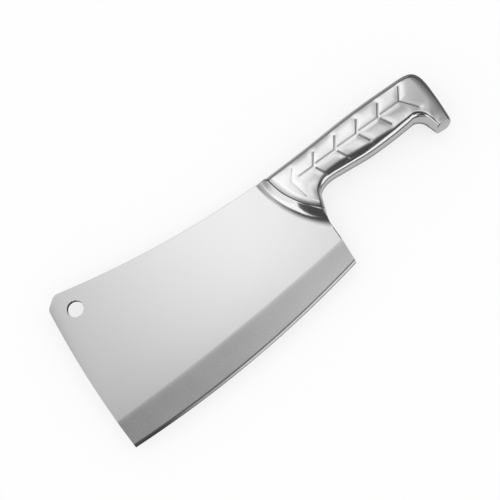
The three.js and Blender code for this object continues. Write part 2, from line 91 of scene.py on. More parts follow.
# Handle
HANDLE_LENGTH, BACK_FALL = 131.5, 4.8
BACK_SWELL, BACK_SWELL_LATE = 1.15, 1.8  # swell of the back's line, and how late along it
WAIST_DEPTH, WAIST_FROM_MOUTH, WAIST_FLARE = 27.1, 31.5, 3.2
PALM_DEPTH, PALM_FROM_WAIST = 30.8, 50.5
HOOK_DROP, HOOK_WIDTH, HOOK_THROAT, HOOK_RADIUS, TIP_SLANT = 45.1, 11.0, 17.8, 8.0, 1.5
BUTT_TUCK, BUTT_BOW, BUTT_ROUND_BACK, BUTT_ROUND_END = 5.6, 1.0, 20.0, 8.0
MOUTH_THICKNESS, GRIP_THICKNESS, TIP_THICKNESS = 16.6, 19.2, 18.0
SHELL_WALL, SEAM_HALF, TIP_ROUND, TIP_RUN = 1.2, 0.8, 0.9, 4.0
WALL_RADIUS, WALL_SWELL = 20.0, 0.35  # bow of the walls
CORNER_RADIUS, TIP_CORNER, TIP_CORNER_IN = 4.5, 2.2, (0.76, 0.92)
CORNER_MOST = 0.8  # largest corner, as a share of half the depth
SIDE_CROWN, HOOK_CROWN, HOOK_CROWN_IN = 1.1, 0.05, (0.5, 0.62)
CALM_WIDTH, CALM_IN, CALM_OUT = 6, (0.6, 0.7), (0.985, 0.935)  # evened surface round the hook, width in rows
BUTT_ROLL, BUTT_ROLL_REACH, BUTT_ROLL_POWER = 1.9, 8.0, 2.4  # round along the butt
BUTT_ROLL_IN, BUTT_ROLL_OUT = (0.65, 0.76), (0.96, 0.78)
RELIEF_DROP, RELIEF_REACH = 0.42, (3.9, 7.4)  # finger relief, full and gone at these distances from the belly
RELIEF_IN, RELIEF_OUT = (8.0, 40.0), (100.0, 52.0)
MOUTH_OVERLAP, MOUTH_GAP = 0.35, 1.25
MOUTH_ROLL, MOUTH_ROLL_REACH = 0.78, 4.4  # shells rolled in to the weld
MOUTH_WELD = ((0.15, 0.6), (0.7, 0.85), (1.4, 0.6), (1.4, 1.6), (0.15, 1.6))  # gap and depth round its section
MOUTH_WITHIN = 0.3  # share of the handle within which the mouth lies

# Grip
CHEVRON_COUNT, CHEVRON_PITCH, FIRST_CHEVRON, RIB_DEPTH = 6, 18.3, 11.2, 14.3
GROOVE_WIDTH, GROOVE_DEPTH = 1.5, 0.27
UPPER_ARM, UPPER_ARM_ANGLE = 10.0, 52.0
LOWER_ARM_START, LOWER_ARM, LOWER_ARM_ANGLE = 2.6, 8.0, 70.0
END_ARM, END_ARM_SPREAD, RIB_START = 14.0, 11.0, 7.0
PILLOW_DEPTH, PILLOW_REACH = 0.16, 2.6  # the panels swell between the grooves
FIRST_FAINT, RIB_FAINT = 0.5, 0.75
RIB_GAP, RIB_LIFT = 2.6, 0.5  # each rib starts clear of the vertex before it, a little nearer the back

# How finely things are drawn
EDGE_STEPS, CLIP_STEPS, BEVEL_COLUMNS, BEVEL_ROUNDS, HOLE_SIDES = 2001, 6, 121, 12, 96
HEEL_POINTS, REAR_POINTS, SPINE_POINTS, FRONT_POINTS = 12, 20, 60, 80
WALL_POINTS, CORNER_POINTS, SIDE_POINTS = 3, 14, 78
PATH_STEPS, SHELL_ROWS, OUTLINE_STEPS, TIP_STEPS, TIP_WAY_ROWS = 4001, 420, 500, 5, 8
BOLSTER_ROWS, BOLSTER_COLUMNS = 160, 61
SHELL_SHARP, WELD_SHARP, BLADE_SHARP = 50.0, 40.0, 2.0  # degrees from which an edge is sharp


# Drawing helpers

class Arc:
    """A circular arc from one point to another that bulges to the right of that way."""

    def __init__(self, start, end, bulge):
        start, end = np.array(start, float), np.array(end, float)
        half = np.linalg.norm(end - start) / 2
        radius = (half**2 + bulge**2) / (2 * bulge)
        way = (end - start) / (2 * half)
        self.centre = (start + end) / 2 + np.array([-way[1], way[0]]) * (radius - bulge)
        self.radius = abs(radius)
        self.start = math.atan2(*(start - self.centre)[::-1])
        self.sweep = 2 * math.asin(half / self.radius) * math.copysign(1, bulge)
        self.length = self.radius * abs(self.sweep)

    def at(self, share, inside=0.0):
        """Points at shares of the arc, moved towards its centre."""
        angle = self.start + self.sweep * np.asarray(share, float)
        return self.centre + (self.radius - inside) * np.stack([np.cos(angle), np.sin(angle)], -1)


def lerp(a, b, share):
    return a + (b - a) * share


def fade(place, start, end):
    """0 up to the start and 1 from the end on, smooth between them. The end may lie before the start."""
    share = np.clip((place - start) / (end - start), 0, 1)
    return share * share * (3 - 2 * share)


def halved(test, low, high, rounds=40):
    """The place between low and high, element by element, where test turns from true to false."""
    low, high = np.array(low, float), np.array(high, float)
    for _ in range(rounds):
        middle = (low + high) / 2
        ahead = test(middle)
        low, high = np.where(ahead, middle, low), np.where(ahead, high, middle)
    return low


def inward(chain, distance):
    """A chain of points moved to its left by a distance."""
    way = np.gradient(chain, axis=0)
    way /= np.linalg.norm(way, axis=1, keepdims=True)
    return chain + np.stack([-way[:, 1], way[:, 0]], -1) * distance


def raised(flat, z):
    """Points of the drawing at a height."""
    return np.column_stack([flat, np.full(len(flat), z)])


HEEL = np.array([0.0, 0.0])
TOE = np.array([-EDGE_LENGTH, -TOE_DROP])
FRONT_CORNER = np.array([-EDGE_LENGTH + FRONT_RAKE, FRONT_HEIGHT])
BOLSTER_TOP = np.array([-BOLSTER_FRONT, BOLSTER_HEIGHT])
BOLSTER_TAIL = np.array([HEEL_LEAN, HEEL_RISE])
MOUTH_TOP = np.array([-BOLSTER_FRONT + BOLSTER_WIDTH, BOLSTER_HEIGHT])
MOUTH_TAIL = np.array([HEEL_LEAN + TAIL_LEAN, HEEL_RISE + TAIL_RISE])
BUTT_END = -BOLSTER_FRONT + HANDLE_LENGTH
FRONT_LINE = Arc(BOLSTER_TOP, BOLSTER_TAIL, FRONT_LINE_BULGE)
MOUTH_LINE = Arc(MOUTH_TOP, MOUTH_TAIL, MOUTH_BULGE)
EDGE = Arc(TOE, HEEL, EDGE_BELLY)
FRONT = Arc(FRONT_CORNER, TOE, FRONT_BOW)
SPINE = Arc((0.0, BOLSTER_HEIGHT), FRONT_CORNER, -SPINE_HOLLOW)

# From the drawing to the frame, by the box of the solid blade
blade_low, blade_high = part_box("blade")
EDGE_LOWEST = EDGE.at(np.linspace(0, 1, EDGE_STEPS))[:, 1].min()
SHIFT = np.array([
    blade_low.x * MM + EDGE_LENGTH,
    blade_low.y * MM - EDGE_LOWEST,
    (blade_low.z + blade_high.z) / 2 * MM,
])


def new_object(name, data):
    made = bpy.data.objects.new(name, data)
    scene.collection.objects.link(made)
    return made


def make_piece(name, points, faces, finishes, sharp, kinds=None):
    """A mesh object from points in the drawing's millimetres, with finishes picked face by face."""
    mesh = bpy.data.meshes.new(name)
    mesh.from_pydata((np.asarray(points, float) + SHIFT) / MM, [], [list(map(int, f)) for f in faces])
    for finish in finishes:
        mesh.materials.append(finish)
    if kinds is not None:
        mesh.polygons.foreach_set("material_index", np.asarray(kinds, np.int32))
    mesh.polygons.foreach_set("use_smooth", np.ones(len(mesh.polygons), bool))
    mesh.set_sharp_from_angle(angle=math.radians(sharp))
    mesh.validate()
    piece = new_object(name, mesh)
    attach(piece, "root")
    return piece


def mark(piece, name, values):
    """Keeps a value at each point of a piece, for its finish."""
    attribute = piece.data.attributes.new(name, "FLOAT", "POINT")
    attribute.data.foreach_set("value", values.reshape(-1).astype(np.float32))


def strip(first, second, closed=False):
    """Quads between two equally long rows of point numbers."""
    count = len(first)
    last = count if closed else count - 1
    return [(first[i], first[(i + 1) % count], second[(i + 1) % count], second[i]) for i in range(last)]


def turned(faces, side):
    """Faces of the left side as they are, and those of its mirror turned over."""
    return faces if side > 0 else [f[::-1] for f in faces]


# Finishes

class Value:
    """A socket in a finish, with arithmetic that adds Math nodes."""

    def __init__(self, finish, socket):
        self.finish, self.socket = finish, socket

    def maths(self, operation, *values):
        return self.finish.node("Math", dict(enumerate(values)), operation=operation)

    def __add__(self, other):
        return self.maths("ADD", self, other)

    def __sub__(self, other):
        return self.maths("SUBTRACT", self, other)

    def __rsub__(self, other):
        return self.maths("SUBTRACT", other, self)

    def __mul__(self, other):
        return self.maths("MULTIPLY", self, other)

    __radd__, __rmul__ = __add__, __mul__

    def exp(self):
        return self.maths("EXPONENT", self)


class Finish:
    """A material and its nodes."""

    def __init__(self, name):
        self.material = bpy.data.materials.new(name)
        self.material.use_nodes = True
        self.tree = self.material.node_tree
        self.tree.nodes.clear()

    def node(self, kind, inputs=None, output=0, **settings):
        """Adds a node with its settings and inputs, and gives one of its outputs."""
        made = self.tree.nodes.new("ShaderNode" + kind)
        for key, value in settings.items():
            setattr(made, key, value)
        for key, value in (inputs or {}).items():
            if isinstance(value, Value):
                self.tree.links.new(value.socket, made.inputs[key])
            else:
                made.inputs[key].default_value = value
        return Value(self, made.outputs[output]) if made.outputs else None

    def place(self, stretch=(1.0, 1.0, 1.0)):
        """Places on the object in metres, stretched."""
        spot = self.node("TexCoord", output="Object")
        return self.node("Mapping", {"Vector": spot, "Scale": stretch})

    def along(self, axis):
        """Distance along one axis of the object, in millimetres."""
        return self.node("SeparateXYZ", {0: self.place()}, output=axis) * MM

    def noise(self, stretch=(1.0, 1.0, 1.0), scale=1.0, detail=2.0, roughness=0.5):
        return self.node("TexNoise", {
            "Vector": self.place(stretch), "Scale": scale, "Detail": detail, "Roughness": roughness,
        })

    def marked(self, name):
        """A value kept at the points of the piece."""
        return self.node("Attribute", output="Fac", attribute_name=name)

    def ramp(self, share, stops):
        """Grey levels along a share, eased between (place, level) stops."""
        shade = self.node("ValToRGB", {0: share})
        ramp = shade.socket.node.color_ramp
        while len(ramp.elements) < len(stops):
            ramp.elements.new(1.0)
        for stop, (place, level) in zip(ramp.elements, stops):
            stop.position, stop.color = place, grey(level)
        ramp.interpolation = "EASE"
        return shade

    def blend(self, factor, first, second, way="MIX"):
        """Two colours mixed, or the second multiplied with or added to the first."""
        colours = {0: factor, 6: first, 7: second}
        return self.node("Mix", colours, output=2, data_type="RGBA", blend_type=way)

    def glow(self, colour):
        return self.node("Emission", {"Color": colour, "Strength": 1.0})

    def steel(self, base, roughness, height, bump):
        """Ends the finish in bare steel."""
        normal = self.node("Bump", {"Height": height, "Strength": bump, "Distance": BUMP_DISTANCE})
        shader = self.node("BsdfPrincipled", {
            "Base Color": base, "Metallic": 1.0, "Roughness": roughness, "Normal": normal,
        })
        return self.ended(shader)

    def ended(self, shader):
        """Ends the finish in a shader."""
        self.node("OutputMaterial", {"Surface": shader})
        return self.material


def grey(level):
    return (level, level, level, 1.0)


def satin_blade():
    """Plate brushed from spine to edge, with faint clouds from the belt, and painted shade darkening the rim at
    the upper front.
    """
    finish = Finish("satin_blade")
    brush = finish.noise(stretch=(2600.0, 45.0, 45.0), detail=3.0)
    cloud = finish.noise(scale=22.0, detail=3.0)
    base = finish.blend(cloud * 0.6 + brush * 0.4, grey(0.84), grey(0.91))
    x, y = (finish.along(axis) - SHIFT[axis] for axis in (0, 1))
    up = y * (1 / FRONT_HEIGHT)
    front = x + EDGE_LENGTH - up * FRONT_RAKE + up * (1 - up) * (4 * FRONT_BOW)
    # painted shade: the plate's colour darkened towards the front rim, more strongly near the spine
    painted_shade = (front * (-1 / PAINTED_RIM_SHADE_REACH)).exp() * up * up
    base = finish.blend(painted_shade * PAINTED_RIM_SHADE_STRENGTH, base, grey(0.45))
    roughness = 0.2 + cloud * 0.05 + brush * 0.06
    return finish.steel(base, roughness, height=brush, bump=0.03)


def ground_bevel():
    """The grind: coarser lines across the edge."""
    finish = Finish("ground_bevel")
    lines = finish.noise(stretch=(3200.0, 60.0, 60.0), detail=4.0, roughness=0.65)
    cloud = finish.noise(scale=50.0, detail=2.0)
    base = finish.blend(lines * 0.3 + cloud * 0.7, grey(0.76), grey(0.95))
    roughness = 0.2 + lines * 0.09 + cloud * 0.04
    return finish.steel(base, roughness, height=lines, bump=0.02)


def honed_edge():
    """The fine bevel, bright from the stone."""
    finish = Finish("honed_edge")
    lines = finish.noise(stretch=(1500.0, 900.0, 200.0), detail=3.0)
    base = finish.blend(lines, grey(0.84), grey(0.93))
    roughness = 0.07 + lines * 0.05
    return finish.steel(base, roughness, height=lines, bump=0.03)


def torn_edge_painted_shade():
    """Torn steel with painted shade that makes it near black: the hole's wall, torn from the punch, its rim,
    and the heel's broken edges.
    """
    finish = Finish("torn_edge_painted_shade")
    tears = finish.noise(stretch=(700.0, 700.0, 160.0), detail=4.0, roughness=0.6)
    # painted shade: a near-black base where the hole and the heel's edges lie in shade
    base = finish.blend(tears, grey(0.02), grey(0.1))
    roughness = 0.38 + tears * 0.2
    return finish.steel(base, roughness, height=tears, bump=0.2)


def polished_handle():
    """Buffed steel: fine lines along the handle, smears from the mop, and painted shade darkening the grooves.
    """
    finish = Finish("polished_handle")
    lines = finish.noise(stretch=(70.0, 2400.0, 2400.0), detail=3.0)
    smear = finish.noise(scale=60.0, detail=3.0)
    depth = finish.marked("groove")
    buffed = finish.blend(smear * 0.5 + lines * 0.5, grey(0.86), grey(0.92))
    # painted shade: the base darkened in the grooves
    base = finish.blend(depth * 0.2, buffed, grey(0.42))
    roughness = 0.1 + smear * 0.06 + lines * 0.04 + depth * 0.1
    return finish.steel(base, roughness, height=lines, bump=0.03)


def cast_bolster():
    """The bolster, buffed brighter than the handle, duller at its ground fillet, and rougher and darkened by
    painted shade in patches at its upper end.
    """
    finish = Finish("cast_bolster")
    lines = finish.noise(stretch=(900.0, 900.0, 900.0), detail=3.0)
    waves = finish.noise(scale=90.0, detail=2.0)
    fillet, painted_shade = finish.marked("fillet"), finish.marked("upper_end")
    buffed = finish.blend(waves * 0.6 + lines * 0.4, grey(0.92), grey(0.97))
    base = finish.blend(fillet, buffed, grey(0.84))
    # painted shade: dark mottled patches at the upper end that stand in for a dark reflection; the same mask
    # also raises the roughness
    base = finish.blend(painted_shade * (waves * 2.0 - 0.4), base, grey(0.3))
    roughness = 0.08 + waves * 0.06 + lines * 0.03 + fillet * 0.24 + painted_shade * 0.12
    return finish.steel(base, roughness, height=waves, bump=0.05)


def brushed_weld():
    """Weld metal ground back, duller than what it joins."""
    finish = Finish("brushed_weld")
    grain = finish.noise(stretch=(1400.0, 1400.0, 300.0), detail=4.0, roughness=0.6)
    base = finish.blend(grain, grey(0.2), grey(0.36))
    roughness = 0.3 + grain * 0.2
    return finish.steel(base, roughness, height=grain, bump=0.2)


SATIN, GRIND, HONED, TORN_EDGE_PAINTED_SHADE = satin_blade(), ground_bevel(), honed_edge(), torn_edge_painted_shade()
POLISH, CAST, WELD = polished_handle(), cast_bolster(), brushed_weld()


# Blade

BLADE_FINISHES = SATIN, GRIND, HONED, TORN_EDGE_PAINTED_SHADE
ON_PLATE, ON_GRIND, ON_FINE_BEVEL, ON_PAINTED_SHADE = range(len(BLADE_FINISHES))


def rounded(before, corner, after, radius):
    """Points of the fillet at a corner."""
    back = (before - corner) / np.linalg.norm(before - corner)
    on = (after - corner) / np.linalg.norm(after - corner)
    half = math.acos(back @ on) / 2
    setback = radius / math.tan(half)
    turn = math.copysign(1, on[0] * back[1] - on[1] * back[0])
    bend = Arc(corner + back * setback, corner + on * setback, radius * (1 - math.sin(half)) * turn)
    return bend.at(np.linspace(0, 1, CLIP_STEPS + 1))


def edge_height(x):
    """Height of the cutting edge at a place along it."""
    return EDGE.centre[1] - np.sqrt(EDGE.radius**2 - (x - EDGE.centre[0]) ** 2)


def grind_height(x):
    """Height of the grind's upper line."""
    share = (x + EDGE_LENGTH) / EDGE_LENGTH
    return lerp(GRIND_AT_TOE, GRIND_AT_HEEL, share) - 4 * share * (1 - share) * GRIND_SAG


def bevel_height(x, grind, fine):
    """Height of a row that lies a share down the grind and then a share down the fine bevel."""
    edge = edge_height(x)
    return lerp(lerp(grind_height(x), edge + EDGE_BEVEL, grind), edge, fine)


def front_x(y):
    """The blade's front at a height."""
    return FRONT.centre[0] - np.sqrt(FRONT.radius**2 - (y - FRONT.centre[1]) ** 2)


def heel_x(y):
    """The blade's heel at a height."""
    return y * HEEL_LEAN / HEEL_RISE


def bevel_rows():
    """Rows of points on one face's grinds, from the grind's upper line to the edge, front to heel."""
    columns = np.linspace(0, 1, BEVEL_COLUMNS)
    half = BLADE_THICKNESS / 2
    heights = [(v, 0.0, 0.0) for v in GRIND_ROWS] + [(1.0, *facet) for facet in FINE_FACETS]
    rows = []
    for grind, fine, thin in heights:
        front, heel = np.array(-EDGE_LENGTH), np.array(0.0)
        for _ in range(BEVEL_ROUNDS):  # brings the row's ends onto the front and the heel
            front, heel = front_x(bevel_height(front, grind, fine)), heel_x(bevel_height(heel, grind, fine))
        x = lerp(front, heel, columns)
        eased = (grind - GRIND_SOFT * (1 - math.exp(-grind / GRIND_SOFT))) / (1 - GRIND_SOFT)
        hollow = eased + GRIND_HOLLOW * eased * (1 - eased)
        z = lerp(lerp(half, SHOULDER_THICKNESS / 2, hollow), EDGE_THICKNESS / 2, thin)
        rows.append(np.stack([x, bevel_height(x, grind, fine), np.full_like(x, z)], -1))
    return rows


def plate_chain():
    """The plate's outline from the heel end of the grind, by the bolster and the spine, to its front end."""
    heel = np.array([heel_x(GRIND_AT_HEEL), GRIND_AT_HEEL])
    under_tail = lerp(HEEL, BOLSTER_TAIL, UNDER_TAIL) - np.array([HEEL_TUCK, 0.0])
    sides = lerp(heel, under_tail, np.linspace(0, 1, HEEL_POINTS)[:, None])
    rear = FRONT_LINE.at(np.linspace(REAR_FROM, REAR_TO, REAR_POINTS), UNDER_BOLSTER)
    spine_end = 1 - (CLIP_ALONG_SPINE + CLIP_ROUND) / SPINE.length
    spine = SPINE.at(np.linspace(SPINE_FROM, spine_end, SPINE_POINTS))
    front = FRONT.at(np.linspace((CLIP_ALONG_FRONT + CLIP_ROUND) / FRONT.length, 1, FRONT_POINTS))
    grind_front = halved(lambda y: y < grind_height(front_x(y)), 0.0, GRIND_BELOW)
    front = front[front[:, 1] > grind_front + CLEAR_OF_GRIND]
    end = np.array([[front_x(grind_front), grind_front]])
    on_spine = SPINE.at(1 - CLIP_ALONG_SPINE / SPINE.length)
    on_front = FRONT.at(CLIP_ALONG_FRONT / FRONT.length)
    clip = np.vstack([
        rounded(spine[-1], on_spine, on_front, CLIP_ROUND),
        rounded(on_spine, on_front, front[0], CLIP_ROUND),
    ])
    return np.vstack([sides, rear, spine, clip, front, end])


def plate_triangles(outline, rim, centre):
    """The flat plate as points and triangles, inside its outline and outside the hole."""
    count = len(outline)
    ties = [(i, (i + 1) % count) for i in range(count)]
    ties += [(count + i, count + (i + 1) % len(rim)) for i in range(len(rim))]
    within_ties, near = 1, 1e-6
    spots = [Vector(p) for p in (*outline, *rim)]
    found, _, triangles, *_ = delaunay_2d_cdt(spots, ties, [], within_ties, near)
    found = np.array(found)
    middle = np.array([found[list(t)].mean(0) for t in triangles])
    beside_hole = np.linalg.norm(middle - centre, axis=1) > HOLE_DIAMETER / 2
    return found, [t for t, keep in zip(triangles, beside_hole) if keep]


def blade_piece():
    """The ground plate, with broken edges that run out where the outline meets the grind."""
    half = BLADE_THICKNESS / 2
    rows = bevel_rows()
    grind_line = rows[0][:, :2]
    chain = plate_chain()
    inset = inward(chain, np.where(np.arange(len(chain)) < HEEL_POINTS, HEEL_EASED, EASED_EDGE)[:, None])
    inset[0], inset[-1] = grind_line[-2], grind_line[1]
    drop = np.full(len(chain), EASED_EDGE)
    drop[[0, -1]] = 0
    centre = np.array([FRONT_CORNER[0] + HOLE_FROM_FRONT, FRONT_CORNER[1] - HOLE_FROM_TOP])
    turn = np.linspace(0, 2 * math.pi, HOLE_SIDES, endpoint=False)
    circle = np.stack([np.cos(turn), np.sin(turn)], -1)
    rim = centre + circle * (HOLE_DIAMETER / 2 + HOLE_EASED)
    wall = centre + circle * HOLE_DIAMETER / 2
    plate, triangles = plate_triangles(np.vstack([inset, grind_line[2:-2]]), rim, centre)
    points, faces, kinds = [], [], []

    def add(row):
        points.extend(row)
        return list(range(len(points) - len(row), len(points)))

    def face(quads, kind):
        faces.extend(quads)
        kinds.extend([kind] * len(quads))

    made = {}
    for side in (1, -1):
        plate_row = add(raised(plate, side * half))
        face(turned([tuple(plate_row[i] for i in t) for t in triangles], side), ON_PLATE)
        inset_row = add(raised(inset, side * half))
        chain_row = add(raised(chain, side * (half - drop)))
        eased = turned(strip(chain_row, inset_row), side)
        # the heel's broken edges get the near-black painted shade
        face(eased[1:HEEL_POINTS], ON_PAINTED_SHADE)
        face(eased[:1] + eased[HEEL_POINTS:], ON_PLATE)
        rim_row = add(raised(rim, side * half))
        wall_row = add(raised(wall, side * (half - HOLE_EASED)))
        face(turned(strip(rim_row, wall_row, closed=True), side), ON_PAINTED_SHADE)
        bevel = [add(row * (1, 1, side)) for row in rows]
        for i, (upper, lower) in enumerate(zip(bevel, bevel[1:])):
            face(turned(strip(lower, upper), side), ON_GRIND if i < len(GRIND_ROWS) - 1 else ON_FINE_BEVEL)
        made[side] = chain_row, wall_row, bevel
    (chain_up, wall_up, bevel_up), (chain_low, wall_low, bevel_low) = made[1], made[-1]
    face(strip(chain_low, chain_up), ON_PLATE)
    face(strip(wall_up, wall_low, closed=True), ON_PAINTED_SHADE)
    face(strip(bevel_low[-1], bevel_up[-1]), ON_FINE_BEVEL)
    for end, side in ((0, 1), (-1, -1)):
        upper, lower = [row[end] for row in bevel_up], [row[end] for row in bevel_low]
        face(turned(strip(upper, lower), side), ON_PLATE)
    piece = make_piece("blade_plate", points, faces, BLADE_FINISHES, BLADE_SHARP, kinds)
    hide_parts("blade")


# Handle

def back_line(x):
    """Height of the handle's straight back."""
    return BOLSTER_HEIGHT - BACK_FALL * (x + BOLSTER_FRONT) / HANDLE_LENGTH


def handle_stations():
    """Matching points on back and belly, and the thickness there: the solids' own, with a swelled back."""
    def back(x):
        share = (x - MOUTH_TOP[0]) / (BUTT_END - BUTT_ROUND_BACK - MOUTH_TOP[0])
        swell = math.sin(math.pi * min(max(share, 0), 1) ** BACK_SWELL_LATE) ** 2
        return np.array([x, back_line(x) + BACK_SWELL * swell])

    def belly(x, depth):
        return np.array([x, back_line(x) - depth])

    def tail(share, out):
        return lerp(BOLSTER_TAIL, MOUTH_TAIL, share) + np.array([out, 0])

    mouth = MOUTH_TOP[0]
    waist = mouth + WAIST_FROM_MOUTH
    palm = waist + PALM_FROM_WAIST
    corner = back(BUTT_END)
    tip_back = np.array([BUTT_END - BUTT_TUCK, corner[1] - HOOK_DROP])
    tip_front = tip_back + np.array([-HOOK_WIDTH, TIP_SLANT])
    end_way = (tip_back - corner) / np.linalg.norm(tip_back - corner)
    bend_start, bend_end = back(BUTT_END - BUTT_ROUND_BACK), corner + end_way * BUTT_ROUND_END
    butt = Arc(tip_back, bend_end, BUTT_BOW)
    throat = np.array([BUTT_END - HOOK_THROAT - HOOK_RADIUS, back_line(palm) - PALM_DEPTH - HOOK_RADIUS])

    def bend(share):
        return lerp(lerp(bend_start, corner, share), lerp(corner, bend_end, share), share)

    def in_hook(degrees):
        turn = math.radians(degrees)
        return throat + HOOK_RADIUS * np.array([math.cos(turn), math.sin(turn)])

    def hook_side(share):
        return lerp(in_hook(0), tip_front, share)

    def grip(share):
        return lerp(waist, palm, share)

    def depth(share):
        return lerp(WAIST_DEPTH, PALM_DEPTH, share)

    def thick(share):
        return lerp(MOUTH_THICKNESS, GRIP_THICKNESS, share)

    flare = belly(lerp(mouth, waist, 0.74), WAIST_DEPTH + WAIST_FLARE)
    tip_rise = hook_side(1 - TIP_RUN / np.linalg.norm(in_hook(0) - tip_front))
    return [
        (back(mouth - 2.2 * BOLSTER_WIDTH), tail(-0.7, 0), MOUTH_THICKNESS),
        (back(mouth - 0.4 * BOLSTER_WIDTH), tail(0.4, -TAIL_HOLLOW), MOUTH_THICKNESS),
        (back(mouth + 1.2 * BOLSTER_WIDTH), tail(1.4, TAIL_FLARE), MOUTH_THICKNESS),
        (back(lerp(mouth, waist, 0.55)), flare, thick(0.15)),
        (back(grip(0)), belly(grip(0), WAIST_DEPTH), thick(0.4)),
        (back(grip(0.3)), belly(grip(0.3), depth(0.3)), thick(0.75)),
        (back(grip(0.64)), belly(grip(0.64), depth(0.86)), thick(1)),
        (back(palm), belly(palm, PALM_DEPTH), thick(1)),
        (bend(0), in_hook(105), thick(1)),
        (bend(0.3), in_hook(72), thick(1)),
        (bend(0.6), in_hook(45), thick(1)),
        (bend(1), in_hook(18), thick(1)),
        (butt.at(0.5), hook_side(0.1), thick(1)),
        (butt.at(TIP_RUN / butt.length), tip_rise, TIP_THICKNESS),
        (tip_back, tip_front, TIP_THICKNESS),
    ]


STATIONS = handle_stations()
BACKS = np.array([s[0] for s in STATIONS])
BELLIES = np.array([s[1] for s in STATIONS])
THICKNESSES = np.array([[s[2]] for s in STATIONS])
SPANS = len(STATIONS) - 1


def curve(points, share, even=False):
    """A smooth curve through points, with knots a root of their distance apart, or even ones."""
    share = np.clip(np.asarray(share, float), 0, 1) * (len(points) - 1)
    span = np.minimum(share.astype(int), len(points) - 2)
    w = (share - span)[..., None]
    ends = (points[0], points[-1]) if even else (2 * points[0] - points[1], 2 * points[-1] - points[-2])
    padded = np.vstack([ends[0], points, ends[1]])
    p0, p1, p2, p3 = (padded[span + k] for k in range(4))
    if even:
        t1, t2 = (p2 - p0) / 2, (p3 - p1) / 2
    else:
        gaps = (p1 - p0, p2 - p1, p3 - p2)
        d0, d1, d2 = (np.linalg.norm(gap, axis=-1, keepdims=True) ** 0.5 for gap in gaps)
        t1 = ((p1 - p0) / d0 - (p2 - p0) / (d0 + d1) + (p2 - p1) / d1) * d1
        t2 = ((p2 - p1) / d1 - (p3 - p1) / (d1 + d2) + (p3 - p2) / d2) * d1
    return p1 + t1 * w + (-3 * p1 + 3 * p2 - 2 * t1 - t2) * w**2 + (2 * p1 - 2 * p2 + t1 + t2) * w**3


class Section:
    """The handle's rounded, slightly crowned sections at places along it, sunk by an inset."""

    def __init__(self, share, inset=0.0):
        back, self.belly = curve(BACKS, share), curve(BELLIES, share)
        width = np.linalg.norm(back - self.belly, axis=-1)
        self.across = (back - self.belly) / width[..., None]
        self.middle = (back + self.belly) / 2
        self.half = width / 2 + WALL_SWELL - inset
        self.thick = curve(THICKNESSES, share, even=True)[..., 0] / 2 - inset
        corner = lerp(CORNER_RADIUS, TIP_CORNER, fade(share, *TIP_CORNER_IN))
        self.radius = np.minimum(np.maximum(corner - np.max(inset), SHELL_WALL), self.half * CORNER_MOST)
        crown = lerp(SIDE_CROWN, HOOK_CROWN, fade(share, *HOOK_CROWN_IN))
        self.slope = np.arctan(2 * crown / np.maximum(self.half - self.radius, CORNER_RADIUS))
        self.crown = (self.half - self.radius + self.radius * np.sin(self.slope)) * np.tan(self.slope) / 2
        self.level = self.thick - self.crown - self.radius * np.cos(self.slope)
        self.lean = np.arcsin(self.level / (WALL_RADIUS - self.radius))
        self.centre = self.half - WALL_RADIUS + (WALL_RADIUS - self.radius) * np.cos(self.lean)
        self.side = self.centre + self.radius * np.sin(self.slope)

    def height(self, u):
        """Height of the surface at a distance from the middle."""
        u = np.abs(u)
        round_part = self.level + np.sqrt(np.maximum(self.radius**2 - (u - self.centre) ** 2, 0))
        wall = np.sqrt(np.maximum(WALL_RADIUS**2 - (u - self.half + WALL_RADIUS) ** 2, 0))
        outer = np.where(u < self.centre + self.radius * np.cos(self.lean), round_part, wall)
        return np.where(u < self.side, self.thick - self.crown * (u / self.side) ** 2, outer)


def share_of(points):
    """Where along the handle points of the drawing lie."""
    def before(share):
        s = Section(share)
        gap = points - s.belly
        return s.across[..., 0] * gap[..., 1] - s.across[..., 1] * gap[..., 0] < 0
    return halved(before, np.zeros(points.shape[:-1]), np.ones(points.shape[:-1]))


def grip_lines():
    """Chevrons that point to the blade, and the groove between their vertices."""
    def on_rib(distance):
        x = MOUTH_TOP[0] + distance
        return np.array([x, back_line(x) - RIB_DEPTH])

    def ray(point, degrees, length):
        turn = math.radians(degrees)
        return point + length * np.array([math.cos(turn), math.sin(turn)])

    lines = []
    for i in range(CHEVRON_COUNT):
        vertex = on_rib(FIRST_CHEVRON + i * CHEVRON_PITCH)
        first, last = i == 0, i == CHEVRON_COUNT - 1
        angle = -LOWER_ARM_ANGLE + END_ARM_SPREAD * (last - first)
        start, end = LOWER_ARM_START, LOWER_ARM_START + LOWER_ARM
        if first or last:
            start, end = 0.0, END_ARM
        strength = FIRST_FAINT if first else 1.0
        lines.append((vertex, ray(vertex, UPPER_ARM_ANGLE, UPPER_ARM), strength))
        lines.append((ray(vertex, angle, start), ray(vertex, angle, end), strength))
        if not first:
            before = RIB_START if i == 1 else (i - 1) * CHEVRON_PITCH + RIB_GAP
            start = on_rib(FIRST_CHEVRON + before) + np.array([0.0, RIB_LIFT])
            lines.append((start, vertex, RIB_FAINT))
    return lines


def grip_depth(flat):
    """How strongly the grip lines, and the panels' swell beside them, press the surface in at points."""
    groove, swell = np.zeros(flat.shape[:-1]), np.zeros(flat.shape[:-1])
    for start, end, strength in grip_lines():
        way = end - start
        share = np.clip(((flat - start) @ way) / (way @ way), 0, 1)
        distance = np.linalg.norm(flat - start - share[..., None] * way, axis=-1)
        hollow = 0.5 + 0.5 * np.cos(np.minimum(2 * distance / GROOVE_WIDTH, 1) * np.pi)
        groove = np.maximum(groove, strength * hollow)
        swell = np.maximum(swell, strength * np.exp(-((distance / PILLOW_REACH) ** 2)))
    return groove, swell


ON_WALL, ON_CORNER, ON_SIDE = range(3)


